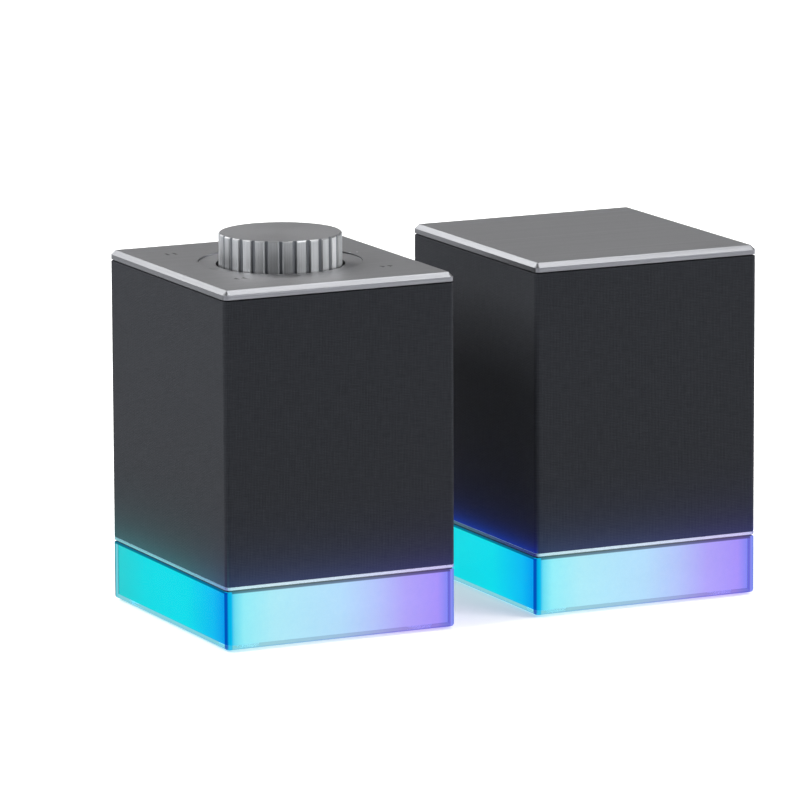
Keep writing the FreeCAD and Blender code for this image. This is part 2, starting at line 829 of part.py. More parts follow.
def build_dust_cap(side):
    """Thin dome glued over the coil."""
    outer = make_primitive("Sphere", Radius="cap_sphere")
    inner = make_primitive("Sphere", Radius="cap_sphere - cone_wall")
    bind(outer, "Angle1", "acos(cap_radius / cap_sphere)")
    doc.recompute()
    dome = join("Cut", f"{side}_dust_cap", outer, inner)
    seat = "-cone_apex + cone_wall + 0.75"
    for item in (outer, inner):
        bind(item, "Placement.Base.z", f"{seat} - sqrt(cap_sphere ^ 2 - cap_radius ^ 2)")
    finish_driver(dome, f"{side}_dust_cap", side)


def build_radiator(side):
    """Weighted plate on a rubber surround, driven by the air in the box."""
    surround = build_surround("radiator_surround", side, "radiator_centre", "0")
    place = dict(y="cabinet_half_depth", z="driver_height", turn=TURN_BACKWARD)
    finish(surround, f"{side}_radiator_surround", side, **place)
    outline = [
        ("0", "-3.4"),
        ("radiator_weight", "-3.4"),
        ("radiator_weight", "-1.2"),
        ("radiator_plate", "-1.2"),
        ("radiator_plate", "0"),
        ("0", "0"),
    ]
    plate = build_turned(side, "radiator_plate", outline)
    finish(plate.body, plate.name, side, **place)


# ---- sockets and boards -----------------------------------------------------------------------


def socket_places(side):
    """Sideways places of the flat sockets: the link, and on the left the power and data input."""
    return ["0"] if side == "right" else ["0", "-socket_pitch"]


def build_socket_panel(side):
    """Hollow moulding that fills the window in the fabric."""
    piece = Piece(f"{side}_socket_panel")
    block = piece.sketch("XZ", "-cabinet_half_depth")
    draw_rounded(block, "panel_half", "panel_half_height", "1.5", "0", "panel_centre")
    piece.pad(block, "panel_face - cabinet_half_depth", reverse=True)
    hollow = piece.sketch("XZ", "-cabinet_half_depth")
    inside = "panel_half - panel_wall"
    draw_rectangle(hollow, inside, "panel_half_height - panel_wall", "0", "panel_centre")
    piece.pocket(hollow, "panel_face - cabinet_half_depth - panel_wall")
    mouths = piece.sketch("XZ", "-panel_face")
    width = "usb_half_width + fit_gap"
    height = "usb_half_height + fit_gap"
    for x in socket_places(side):
        draw_rounded(mouths, width, height, "usb_half_height", x, "socket_height")
    if side == "left":
        jack_height = "amplifier_top + jack_half"
        draw_circle(mouths, "socket_pitch", jack_height, "jack_radius + fit_gap")
    piece.pocket(mouths, "panel_wall + 0.1", reverse=True)
    finish(piece.body, piece.name, side)


def build_usb_socket(label, side, x):
    """Metal shell with a contact tongue in its mouth."""
    piece = Piece(label)
    shell = piece.sketch("XZ", "-panel_face + 0.2")
    corner = "usb_half_height - 0.05"
    draw_rounded(shell, "usb_half_width", "usb_half_height", corner, x, "socket_height")
    piece.pad(shell, "usb_length")
    mouth = piece.sketch("XZ", "-panel_face + 0.2")
    inner_width = "usb_half_width - usb_skin"
    inner_height = "usb_half_height - usb_skin"
    draw_rounded(mouth, inner_width, inner_height, f"{inner_height} - 0.05", x, "socket_height")
    piece.pocket(mouth, "usb_length - 1", reverse=True)
    tongue = piece.sketch("XZ", "-panel_face + usb_length")
    draw_rectangle(tongue, "usb_half_width - 1.2", "usb_tongue", x, "socket_height")
    piece.pad(tongue, "usb_length - 1.5", reverse=True)
    finish(piece.body, label, side)


def build_aux_jack(side):
    """Moulded jack with a round nose, bored for a 3.5 mm plug."""
    piece = Piece(f"{side}_aux_jack")
    height = "amplifier_top + jack_half"
    nose = piece.sketch("XZ", "-panel_face + 0.2")
    draw_circle(nose, "socket_pitch", height, "jack_radius")
    piece.pad(nose, "4")
    block = piece.sketch("XZ", "-panel_face + 4.2")
    draw_rectangle(block, "jack_half", "jack_half", "socket_pitch", height)
    piece.pad(block, "jack_length - 4")
    bore = piece.sketch("XZ", "-panel_face + 0.2")
    draw_circle(bore, "socket_pitch", height, "jack_bore")
    piece.pocket(bore, "jack_length - 1", reverse=True)
    finish(piece.body, piece.name, side)


def build_amplifier_board(side):
    """Main board on the deck's standoffs: a long one on the left, a short one on the right."""
    label = "amplifier_board" if side == "left" else "link_board"
    front = "amplifier_front" if side == "left" else "amplifier_back - 12"
    piece = Piece(f"{side}_{label}")
    sketch = piece.sketch(offset="amplifier_bottom")
    body_half = "standoff_x + standoff_radius + 3"
    tongue_half = "window_half - 3"
    draw_outline(
        sketch,
        [
            (f"-({body_half})", front),
            (body_half, front),
            (body_half, "amplifier_back"),
            (tongue_half, "amplifier_back"),
            (tongue_half, "amplifier_tongue"),
            (f"-({tongue_half})", "amplifier_tongue"),
            (f"-({tongue_half})", "amplifier_back"),
            (f"-({body_half})", "amplifier_back"),
        ],
    )
    piece.pad(sketch, "board_thickness")
    if side == "left":
        chips = piece.sketch(offset="amplifier_top")
        draw_rectangle(chips, "5", "5", "-10", "amplifier_front + 14")
        draw_rectangle(chips, "3.5", "3.5", "6", "amplifier_front + 14")
        piece.pad(chips, "1.2")
        capacitors = piece.sketch(offset="amplifier_top")
        for x in ("-4", "6"):
            draw_circle(capacitors, x, "amplifier_front + 5", "4")
        piece.pad(capacitors, "9")
    finish(piece.body, piece.name, side)


def build_control_board(side):
    """Board in the tray that carries the encoder."""
    piece = Piece(f"{side}_control_board")
    sketch = piece.sketch(offset="control_bottom")
    half = "tray_boss_offset + standoff_radius + 1"
    draw_rounded(sketch, half, half, "3")
    piece.pad(sketch, "board_thickness")
    finish(piece.body, piece.name, side)


def make_wire(edges):
    """A round wire along joined edges, the first of which starts upwards."""
    spine = Part.Wire(edges)
    start = edges[0].firstVertex().Point
    circle = Part.Circle(start, FreeCAD.Vector(0, 0, 1), number("wire_radius"))
    return spine.makePipeShell([Part.Wire([circle.toShape()])], True, False)


def lead_edges(start, bend, end):
    """A free lead that leaves a board upwards and meets a driver's lug from behind."""
    points = [FreeCAD.Vector(*point) for point in (start, bend, end)]
    upwards = FreeCAD.Vector(0, 0, 1)
    forwards = FreeCAD.Vector(0, -1, 0.3)
    curve = Part.BSplineCurve()
    curve.interpolate(Points=points, InitialTangent=upwards, FinalTangent=forwards)
    return [curve.toShape()]


def cable_edges(y, low, high, reach):
    """A cable that climbs straight, then turns over forwards and down by a half circle."""
    foot = FreeCAD.Vector(0, y, low)
    neck = FreeCAD.Vector(0, y, high)
    crown = FreeCAD.Vector(0, y - reach / 2, high + reach / 2)
    end = FreeCAD.Vector(0, y - reach, high)
    return [Part.makeLine(foot, neck), Part.Arc(neck, crown, end).toShape()]


def build_wiring(side):
    """Two driver leads, and on the left a cable through the roof to the control board."""
    board = number("amplifier_top")
    lugs = number("driver_height - basket_mouth - wire_radius - 1")
    front = number("-cabinet_half_depth + cabinet_wall + boss_depth")
    lead_y = number("amplifier_back - 9")
    lead_x = 0
    if side == "left":
        lead_y = number("amplifier_front + 2")
        lead_x = 14
    wires = []
    for shift in (-2, 2):
        start = (lead_x + shift, lead_y, board)
        bend = (lead_x + shift, lead_y - 3, board + 12)
        wires.append(make_wire(lead_edges(start, bend, (shift, front, lugs))))
    if side == "left":
        hole_y = number("cable_hole_depth")
        high = number("control_top")
        wires.append(make_wire(cable_edges(hole_y, board, high, number("cable_reach"))))
    harness = doc.addObject("Part::Feature", f"{side}_wiring")
    harness.Shape = Part.makeCompound(wires)
    finish(harness, f"{side}_wiring", side)


# ---- volume knob and encoder ------------------------------------------------------------------


def build_volume_knob(side):
    """Turned cup with flutes around its side."""
    piece = Piece("volume_knob")
    outline = piece.sketch(offset="knob_bottom")
    draw_circle(outline, "0", "0", "knob_radius")
    slug = piece.pad(outline, "knob_top - knob_bottom")
    piece.chamfer_top(slug, "knob_chamfer")
    cavity = piece.sketch(offset="knob_bottom")
    draw_circle(cavity, "0", "0", "knob_radius - knob_wall")
    piece.pocket(cavity, "knob_ceiling - knob_bottom", reverse=True)
    flute = piece.sketch(offset="knob_bottom")
    flute_reach = "(knob_radius + flute_radius - flute_depth)"
    flute_x = f"{flute_reach} * cos(flute_turn)"
    flute_y = f"{flute_reach} * sin(flute_turn)"
    draw_circle(flute, flute_x, flute_y, "flute_radius")
    groove = piece.pocket(flute, "knob_top - knob_bottom", reverse=True)
    piece.repeat_round(groove, "flute_count")
    finish(piece.body, piece.name, side)


def draw_shaft(sketch, play):
    """A round shaft's section with one flat, as a circle cut by a line."""
    radius = number("shaft_radius") + play
    flat = number("shaft_flat") + play
    angle = math.acos(flat / radius)
    circle = Part.Circle(FreeCAD.Vector(0, 0, 0), FreeCAD.Vector(0, 0, 1), radius)
    arc = sketch.addGeometry(Part.ArcOfCircle(circle, angle, 2 * math.pi - angle))
    ends = [FreeCAD.Vector(flat, side * radius * math.sin(angle), 0) for side in (-1, 1)]
    line = sketch.addGeometry(Part.LineSegment(*ends))
    sketch.addConstraint(Sketcher.Constraint("Coincident", arc, 2, line, 1))
    sketch.addConstraint(Sketcher.Constraint("Coincident", line, 2, arc, 1))
    sketch.addConstraint(Sketcher.Constraint("Coincident", arc, 3, -1, 1))
    sketch.addConstraint(Sketcher.Constraint("Vertical", line))
    hold(sketch, "Radius", (arc,), f"shaft_radius + {play}")
    hold(sketch, "DistanceX", (-1, 1, line, 1), f"shaft_flat + {play}")


def build_knob_insert(side):
    """Moulded disc and hub that seat the knob on the shaft."""
    piece = Piece("knob_insert")
    hub = piece.sketch(offset="insert_bottom")
    draw_circle(hub, "0", "0", "insert_hub")
    piece.pad(hub, "knob_ceiling - insert_bottom")
    disc = piece.sketch(offset="knob_ceiling")
    draw_circle(disc, "0", "0", "knob_radius - knob_wall")
    piece.pad(disc, "insert_flange", reverse=True)
    bore = piece.sketch(offset="insert_bottom")
    draw_shaft(bore, 0)
    piece.pocket(bore, "knob_ceiling - insert_bottom - 0.8", reverse=True)
    finish(piece.body, piece.name, side)


def build_encoder(side):
    """Housing on the board, a rotor that turns in it, and a shaft that slides in the rotor."""
    housing = Piece("encoder_body")
    block = housing.sketch(offset="control_top")
    draw_rectangle(block, "encoder_half", "encoder_half")
    housing.pad(block, "encoder_height")
    cavity = housing.sketch("XZ")
    draw_outline(
        cavity,
        [
            ("0", "control_top + encoder_floor"),
            ("rotor_flange + rotor_play", "control_top + encoder_floor"),
            ("rotor_flange + rotor_play", "neck_bottom + rotor_play"),
            ("rotor_radius + rotor_play", "neck_bottom + rotor_play"),
            ("rotor_radius + rotor_play", "encoder_top + 1"),
            ("0", "encoder_top + 1"),
        ],
    )
    housing.revolve(cavity, cut=True)
    finish(housing.body, housing.name, side)

    rotor = Piece("encoder_rotor")
    flange = rotor.sketch(offset="rotor_bottom")
    draw_circle(flange, "0", "0", "rotor_flange")
    rotor.pad(flange, "rotor_flange_height")
    neck = rotor.sketch(offset="neck_bottom")
    draw_circle(neck, "0", "0", "rotor_radius")
    rotor.pad(neck, "encoder_top + rotor_rise - neck_bottom")
    bore = rotor.sketch(offset="rotor_bottom")
    draw_shaft(bore, DIMENSIONS["shaft_play"])
    rotor.pocket(bore, "encoder_top + rotor_rise - rotor_bottom + 1", reverse=True)
    finish(rotor.body, rotor.name, side)

    shaft = Piece("encoder_shaft")
    section = shaft.sketch(offset="control_top + encoder_floor + press_room")
    draw_shaft(section, 0)
    length = "knob_ceiling - 1 - (control_top + encoder_floor + press_room)"
    shaft.pad(section, length)
    finish(shaft.body, shaft.name, side)


# ---- the whole pair ---------------------------------------------------------------------------


def build_speaker(side):
    build_feet(side)
    build_light_cover(side)
    build_light_diffuser(side)
    build_light_board(side)
    build_leds(side)
    build_mid_deck(side)
    build_trim_ring(side)
    build_cabinet(side)
    build_grille_shell(side)
    build_fabric_sleeve(side)
    build_top_plate(side)
    build_screws(side)
    build_driver_basket(side)
    build_motor(side)
    build_voice_coil(side)
    build_driver_cone(side)
    build_driver_spider(side)
    build_dust_cap(side)
    surround = build_surround("driver_surround", side, "roll_centre", "flange_thickness")
    finish_driver(surround, f"{side}_driver_surround", side)
    build_radiator(side)
    build_socket_panel(side)
    build_usb_socket(f"{side}_link_socket", side, "0")
    build_amplifier_board(side)
    build_wiring(side)


for side in SIDES:
    build_speaker(side)
build_usb_socket("left_usb_socket", "left", "-socket_pitch")
build_aux_jack("left")
build_control_board("left")
build_volume_knob("left")
build_knob_insert("left")
build_encoder("left")
doc.recompute()

for item in doc.Objects:
    if "Invalid" in item.State or "Error" in item.State:
        raise RuntimeError(f"{item.Label} did not compute: {item.State}")
for piece in pieces:
    if piece.Shape.isNull() or not piece.Shape.isValid():
        raise RuntimeError(f"{piece.Label} has no valid shape")

os.makedirs("parts", exist_ok=True)
for piece in pieces:
    piece.Shape.exportStep(f"parts/{piece.Label}.step")
print(len(pieces), "pieces written")
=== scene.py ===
"""Looks of a pair of desktop speakers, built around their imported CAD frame.

Metres, +Z up. Both fronts face -Y, and the left speaker carries the volume knob.
"""

import math

import bmesh
import bpy
from mathutils import Matrix, Vector


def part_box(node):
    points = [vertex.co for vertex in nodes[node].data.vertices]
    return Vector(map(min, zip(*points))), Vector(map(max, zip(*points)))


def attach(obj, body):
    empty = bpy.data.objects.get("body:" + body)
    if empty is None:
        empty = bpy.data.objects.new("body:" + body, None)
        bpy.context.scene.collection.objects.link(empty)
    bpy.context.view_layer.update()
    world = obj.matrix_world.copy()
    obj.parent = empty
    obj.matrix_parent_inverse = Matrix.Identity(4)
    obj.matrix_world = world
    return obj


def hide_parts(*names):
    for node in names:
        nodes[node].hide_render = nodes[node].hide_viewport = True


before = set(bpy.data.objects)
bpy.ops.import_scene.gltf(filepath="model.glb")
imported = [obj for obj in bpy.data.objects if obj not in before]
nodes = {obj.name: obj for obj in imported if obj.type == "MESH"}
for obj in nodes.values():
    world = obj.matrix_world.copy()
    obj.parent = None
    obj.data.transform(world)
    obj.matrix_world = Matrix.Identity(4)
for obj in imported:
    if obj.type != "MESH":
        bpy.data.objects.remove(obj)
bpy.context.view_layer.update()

MM = 0.001
SIDES = ("left", "right")

# The camera stands in front of the pair, to its left and a little above, and looks near its middle. Its
# lens and sensor are in millimetres.
CAMERA_AZIMUTH = math.radians(-25.683)
CAMERA_ELEVATION = math.radians(10.713)
CAMERA_ROLL = math.radians(-0.236)
CAMERA_DISTANCE = 2.5498
CAMERA_LENS = 312.06
CAMERA_SENSOR = 36.0
CAMERA_TARGET = Vector((-0.01447, -0.0012, 0.07569))

# The light cover: its index of refraction, and the bounces after which a ray counts as caught inside and
# shows painted glow.
CLEAR_INDEX = 1.3
CAUGHT_AFTER = 5

# Zones of the light cover, as depths in its box: its outer faces, its upper edge with a painted shadow and
# its upright corners with painted glow. The last two start at their first depth and are full at the second.
COVER_SKIN = 1.6 * MM
PAINTED_SHADOW_EDGE = (0.7 * MM, 0.4 * MM)
PAINTED_GLOW_CORNER = (2.3 * MM, 1.9 * MM)

# The fabric: pitch of its weave, height over which the painted glow of the base on it fades to a third,
# radius of the sleeve's corners, and the sleeve's share of the room round the shell.
THREAD_PITCH = 0.6 * MM
SPILL_HEIGHT = 7 * MM
SLEEVE_CORNER = 1.8 * MM
SLEEVE_SHARE = 0.85

# Straight pieces in each rounded corner and each hem.
ARC_STEPS = 6

# Marks printed on the left plate, in ink that stands a little above it. Arrows and bars come in pairs, and
# so do the two dots beside the knob.
INK_HEIGHT = 0.02 * MM
PAIR_HALF_GAP = 1.5 * MM
MARK_FROM_SIDE = 16 * MM
ARROW_FROM_FRONT = 23 * MM
BAR_FROM_BACK = 19.5 * MM
MARK_HALF_LENGTH = 1.7 * MM
ARROW_HALF_WIDTH = 0.8 * MM
BAR_HALF_WIDTH = 0.5 * MM
DOT_OFFSET = Vector((31.6, 4.8)) * MM
DOT_RADIUS = 0.4 * MM

FLOOR_REACH = 8.0


def srgb(red, green, blue):
    """A linear colour from the usual 0 to 255 screen values."""

    def linear(value):
        share = value / 255
        return share / 12.92 if share <= 0.04045 else ((share + 0.055) / 1.055) ** 2.4

    return (linear(red), linear(green), linear(blue), 1.0)


def middle(node):
    low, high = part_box(node)
    return (low + high) / 2


def half_size(node):
    low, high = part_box(node)
    return (high - low) / 2


# ---- materials --------------------------------------------------------------------------------


class Look:
    """A node material, with short calls that add and join its nodes."""

    def __init__(self, name, **surface):
        self.material = bpy.data.materials.new(name)
        self.material.use_nodes = True
        self.nodes = self.material.node_tree.nodes
        self.links = self.material.node_tree.links
        self.nodes.clear()
        self.output = self.nodes.new("ShaderNodeOutputMaterial")
        self.surface = self.nodes.new("ShaderNodeBsdfPrincipled")
        self.links.new(self.surface.outputs[0], self.output.inputs["Surface"])
        self.set(**surface)

    def feed(self, socket, value):
        if isinstance(value, bpy.types.NodeSocket):
            self.links.new(value, socket)
        else:
            socket.default_value = value

    def set(self, **surface):
        for name, value in surface.items():
            self.feed(self.surface.inputs[name.replace("_", " ")], value)

    def add(self, kind, inputs=(), **settings):
        node = self.nodes.new("ShaderNode" + kind)
        for name, value in settings.items():
            setattr(node, name, value)
        for key, value in dict(inputs).items():
            self.feed(node.inputs[key], value)
        return node

    def maths(self, operation, *values):
        return self.add("Math", dict(enumerate(values)), operation=operation).outputs[0]

    def times(self, first, second):
        return self.maths("MULTIPLY", first, second)

    def unsigned(self, value):
        """The value without its sign."""
        return self.maths("ABSOLUTE", value)

    def place(self, centre=(0, 0, 0), scale=(1, 1, 1)):
        """The shaded point at rest, measured from a centre and stretched."""
        point = self.add("TexCoord").outputs["Object"]
        moved = self.add("VectorMath", {0: point, 1: tuple(centre)}, operation="SUBTRACT").outputs[0]
        return self.stretch(moved, tuple(scale))

    def stretch(self, vector, scale):
        return self.add("VectorMath", {0: vector, 1: scale}, operation="MULTIPLY").outputs[0]

    def vector(self, x, y=0.0):
        return self.add("CombineXYZ", {0: x, 1: y}).outputs[0]

    def split(self, vector):
        return self.add("SeparateXYZ", {0: vector}).outputs

    def normal(self):
        return self.split(self.add("NewGeometry").outputs["True Normal"])

    def sideways(self):
        """How squarely a face looks to the left or right, from 0 to 1."""
        return self.unsigned(self.normal()[0])

    def noise(self, vector, scale, detail=2.0, roughness=0.5):
        inputs = {"Vector": vector, "Scale": scale, "Detail": detail, "Roughness": roughness}
        return self.add("TexNoise", inputs).outputs["Fac"]

    def brushing(self, per_metre, detail=2.0, roughness=0.5):
        """Noise with its own number of grains per metre along X, Y and Z."""
        return self.noise(self.place(scale=per_metre), 1.0, detail, roughness)

    def spread(self, value, low, high, to_low=0.0, to_high=1.0):
        """Maps low..high to to_low..to_high and stops at both ends."""
        inputs = {0: value, 1: low, 2: high, 3: to_low, 4: to_high}
        return self.add("MapRange", inputs).outputs[0]

    def vary(self, noise, low=0.0, high=1.0):
        """Spreads the usual reach of a noise over low..high."""
        return self.spread(noise, 0.3, 0.7, low, high)

    def blend(self, share, first, second):
        """A number between two others."""
        return self.add("Mix", {0: share, 2: first, 3: second}).outputs[0]

    def length(self, x, y):
        return self.maths("SQRT", self.maths("ADD", self.times(x, x), self.times(y, y)))

    def ramp(self, value, stops):
        node = self.add("ValToRGB", {0: value})
        points = node.color_ramp.elements
        while len(points) < len(stops):
            points.new(0.5)
        for point, (place, colour) in zip(points, stops):
            point.position = place
            point.color = colour
        return node.outputs["Color"]

    def mix(self, share, first, second, blend="MIX"):
        """A colour between two others."""
        node = self.add("Mix", data_type="RGBA", blend_type=blend)
        self.feed(node.inputs["Factor"], share)
        self.feed(node.inputs[6], first)
        self.feed(node.inputs[7], second)
        return node.outputs[2]

    def tinted(self, colour, tint):
        return self.mix(1.0, colour, tint, "MULTIPLY")

    def bump(self, height, depth):
        return self.add("Bump", {"Height": height, "Distance": depth}).outputs[0]

    def blend_shaders(self, share, first, second):
        return self.add("MixShader", {0: share, 1: first, 2: second}).outputs[0]

    def emission(self, colour, strength=1.0):
        return self.add("Emission", {"Color": colour, "Strength": strength}).outputs[0]

    def glow(self, colour, strength):
        self.set(Emission_Color=colour, Emission_Strength=strength)


def brushed_plate():
    """Dark anodised plate brushed along X, with bright sides and chamfer; painted shade makes the chamfer
    and the left and right ends darker than the front and back sides.
    """
    look = Look("brushed_plate", Metallic=1.0)
    up = look.normal()[2]
    is_face = look.spread(up, 0.96, 0.98)
    shaded_chamfer = look.spread(up, 0.4, 0.6)
    shaded_end = look.spread(look.sideways(), 0.75, 0.9)

    streaks = look.brushing((6, 2600, 2600), detail=5, roughness=0.65)
    bands = look.brushing((9, 420, 420), detail=3)
    face = look.mix(streaks, srgb(113, 113, 115), srgb(133, 133, 135))
    face = look.mix(look.times(bands, 0.3), face, srgb(108, 108, 111))

    cut = look.brushing((14, 14, 5200))
    side = look.mix(look.spread(cut, 0.35, 0.65), srgb(168, 169, 173), srgb(192, 193, 197))
    # Painted shade: the left and right ends and the chamfer get darker colours than the front and back
    # sides.
    side = look.mix(shaded_end, look.tinted(side, srgb(228, 228, 230)), srgb(128, 129, 132))
    chamfer = look.mix(cut, srgb(128, 129, 132), srgb(142, 143, 146))
    side = look.mix(shaded_chamfer, side, chamfer)
    look.set(Base_Color=look.mix(is_face, side, face))

    face_rough = look.vary(streaks, 0.42, 0.56)
    side_rough = look.vary(cut, 0.34, 0.46)
    look.set(Roughness=look.blend(is_face, side_rough, face_rough))
    look.set(Anisotropic=look.times(is_face, 0.55))
    look.set(Tangent=look.vector(1.0))
    look.set(Normal=look.bump(look.times(streaks, is_face), depth=0.005 * MM))
    return look.material


def turned_knob(node):
    """Satin aluminium: rings turned into the top, upright brushing on the side, painted shade in the flutes
    and on the chamfer.
    """
    look = Look("turned_knob", Metallic=1.0)
    x, y, _ = look.split(look.place(middle(node)))
    radius = look.length(x, y)
    up = look.normal()[2]
    is_top = look.spread(up, 0.9, 0.99)
    shaded_chamfer = look.times(look.spread(up, 0.4, 0.5), look.maths("SUBTRACT", 1.0, is_top))
    rim = half_size(node).x
    is_land = look.spread(radius, rim - 0.5 * MM, rim - 0.2 * MM)

    ring_place = look.vector(radius)
    rings = look.noise(ring_place, scale=2600, detail=3, roughness=0.6)
    wide_rings = look.noise(ring_place, scale=500)
    top = look.mix(rings, srgb(126, 126, 128), srgb(146, 146, 148))
    top = look.mix(look.times(wide_rings, 0.3), top, srgb(130, 130, 132))

    upright = look.noise(look.vector(look.maths("ARCTAN2", y, x)), scale=60, detail=3, roughness=0.6)
    land = look.mix(look.vary(upright), srgb(200, 202, 204), srgb(232, 234, 236))
    # Painted shade in the flutes between the lands.
    shaded_flute = look.tinted(land, srgb(150, 152, 156))
    side = look.mix(is_land, shaded_flute, land)
    colour = look.mix(is_top, side, top)
    # Painted shade: the chamfer is darker than the lands.
    look.set(Base_Color=look.mix(shaded_chamfer, colour, srgb(176, 177, 179)))

    top_rough = look.vary(rings, 0.4, 0.52)
    look.set(Roughness=look.blend(is_top, 0.42, top_rough))
    look.set(Anisotropic=look.times(is_top, 0.2))
    look.set(Tangent=look.add("Tangent", direction_type="RADIAL", axis="Z").outputs[0])
    look.set(Normal=look.bump(look.blend(is_top, upright, rings), depth=0.003 * MM))
    return look.material


# Colours of the light along a side of a base, by the share 0 to 1 of its length: the front from left to
# right, and both other sides from the front to the back.
FRONT_GLOW = [
    (0.0, srgb(0, 178, 236)),
    (0.02, srgb(110, 228, 244)),
    (0.06, srgb(160, 245, 250)),
    (0.2, srgb(190, 242, 250)),
    (0.5, srgb(196, 228, 253)),
    (0.66, srgb(196, 204, 253)),
    (0.8, srgb(192, 170, 252)),
    (0.95, srgb(182, 152, 252)),
    (1.0, srgb(140, 140, 246)),
]
LEFT_GLOW = [
    (0.0, srgb(0, 62, 178)),
    (0.014, srgb(0, 66, 184)),
    (0.02, srgb(6, 160, 242)),
    (0.12, srgb(18, 196, 246)),
    (0.36, srgb(20, 228, 238)),
    (0.75, srgb(26, 228, 232)),
    (1.0, srgb(50, 214, 212)),
]
RIGHT_GLOW = [
    (0.0, srgb(120, 124, 246)),
    (0.2, srgb(160, 132, 250)),
    (0.7, srgb(134, 116, 248)),
    (1.0, srgb(112, 92, 246)),
]


def light_colour(look, node):
    """The colour of the light round a base: cyan on its left, through pale blue, to violet on its right."""
    half = half_size(node)
    x, y, _ = look.split(look.place(middle(node), (1 / half.x, 1 / half.y, 1)))
    along = look.spread(y, -1, 1)
    front = look.ramp(look.spread(x, -1, 1), FRONT_GLOW)
    is_right = look.maths("GREATER_THAN", x, 0)
    side = look.mix(is_right, look.ramp(along, LEFT_GLOW), look.ramp(along, RIGHT_GLOW))
    is_side = look.maths("GREATER_THAN", look.sideways(), 0.7)
    return look.mix(is_side, front, side)


def opal_acrylic(side):
    """Frosted diffuser lit from inside, which lights the pieces round it only faintly."""
    look = Look(f"opal_acrylic_{side}", Roughness=0.6, Specular_IOR_Level=0.0)
    frost = look.noise(look.place(), scale=2400, detail=3)
    cloud = look.brushing((26, 26, 60))
    level = look.times(look.spread(frost, 0.2, 0.8, 0.98, 1.02), look.vary(cloud, 0.95, 1.0))
    is_spill = look.add("LightPath").outputs["Is Diffuse Ray"]
    level = look.times(level, look.blend(is_spill, 1.0, 0.4))
    look.set(Base_Color=srgb(34, 44, 52))
    look.glow(light_colour(look, f"{side}_light_diffuser"), level)
    look.set(Normal=look.bump(frost, depth=0.002 * MM))
    return look.material


def clear_wall(look, tint, polish, is_outer, colour):
    """Glass, but the camera sees straight in through outer faces, and where light is caught inside it shows
    painted glow.
    """
    surface = {"Color": tint, "Roughness": polish}
    through = look.add("BsdfRefraction", {**surface, "IOR": CLEAR_INDEX}).outputs[0]
    shine = look.add("BsdfGlossy", surface).outputs[0]
    grazing = look.add("Fresnel", {"IOR": CLEAR_INDEX}).outputs[0]
    window = look.blend_shaders(look.times(grazing, 0.08), through, shine)
    path = look.add("LightPath").outputs
    is_window = look.times(path["Is Camera Ray"], is_outer)
    wall = look.blend_shaders(is_window, look.surface.outputs[0], window)

    # Painted glow: faces seen from inside the outer skin, and rays that have bounced too often.
    from_inside = look.times(look.add("NewGeometry").outputs["Backfacing"], is_outer)
    is_late = look.maths("GREATER_THAN", path["Ray Depth"], CAUGHT_AFTER)
    shows_painted_glow = look.maths("MAXIMUM", from_inside, is_late)
    return look.blend_shaders(shows_painted_glow, wall, look.emission(colour, 0.75))


def painted_corner_glow(look, x, y, from_corner, from_back):
    """Painted glow in the upright corners: blue on the left, violet on the right, green at the rear left,
    with a painted dark line beside the back face there.
    """
    is_side = look.spread(look.sideways(), 0.5, 0.8)
    left_corner = look.mix(is_side, srgb(0, 190, 240), srgb(0, 62, 178))
    right_stops = [(0.0, srgb(60, 84, 190)), (0.3, srgb(124, 146, 242)), (1.0, srgb(164, 152, 250))]
    right_corner = look.ramp(look.spread(from_corner, 0.0, 3.0 * MM), right_stops)
    corner_glow = look.mix(look.maths("GREATER_THAN", x, 0), left_corner, right_corner)
    rear_corner = look.mix(look.spread(from_back, 1.7 * MM, 2.2 * MM), srgb(0, 40, 80), srgb(30, 208, 214))
    is_left_rear = look.times(look.maths("GREATER_THAN", y, 0), look.maths("LESS_THAN", x, 0))
    return look.emission(look.mix(is_left_rear, corner_glow, rear_corner))


def clear_acrylic(side):
    """Polished acrylic: the glow shines through its faces, painted glow fills its corners and a painted
    shadow lies along its upper edge.
    """
    node = f"{side}_light_cover"
    look = Look(f"clear_acrylic_{side}", IOR=CLEAR_INDEX, Transmission_Weight=1.0)
    haze = look.noise(look.place(), scale=400, detail=3)
    polish = look.spread(haze, 0.4, 0.75, 0.01, 0.04)
    tint = look.mix(haze, srgb(250, 254, 255), srgb(240, 250, 255))
    look.set(Roughness=polish, Base_Color=tint)

    half = half_size(node)
    x, y, z = look.split(look.place(middle(node)))
    from_side = look.maths("SUBTRACT", half.x, look.unsigned(x))
    from_front = look.maths("SUBTRACT", half.y, look.unsigned(y))
    from_floor = look.maths("ADD", half.z, z)
    from_top = look.maths("SUBTRACT", half.z, z)
    from_corner = look.maths("MAXIMUM", from_side, from_front)
    from_outside = look.maths("MINIMUM", look.maths("MINIMUM", from_side, from_front), from_floor)
    is_outer = look.maths("LESS_THAN", from_outside, COVER_SKIN)

    colour = light_colour(look, node)
    whole = clear_wall(look, tint, polish, is_outer, colour)
    # Painted shadow: the upper edge is darkened as if in the shadow of the deck.
    painted_shadow = look.emission(look.mix(0.75, colour, srgb(0, 30, 80)))
    whole = look.blend_shaders(look.spread(from_top, *PAINTED_SHADOW_EDGE), whole, painted_shadow)
    is_corner = look.spread(from_corner, *PAINTED_GLOW_CORNER)
    corner_glow = painted_corner_glow(look, x, y, from_corner, from_front)
    whole = look.blend_shaders(look.times(is_corner, 0.85), whole, corner_glow)
    look.links.new(whole, look.output.inputs["Surface"])
    inside = look.add("VolumeAbsorption", {"Color": srgb(90, 200, 250), "Density": 12.0})
    look.links.new(inside.outputs[0], look.output.inputs["Volume"])
    return look.material


def silicone_with_painted_glow(side):
    """Milky feet with painted glow in the colour of the light above them."""
    look = Look(f"silicone_{side}", Roughness=0.6)
    grain = look.noise(look.place(), scale=1800, detail=3)
    look.set(Base_Color=look.mix(grain, srgb(176, 204, 218), srgb(196, 220, 230)))
    look.glow(light_colour(look, f"{side}_feet"), 0.6)
    return look.material


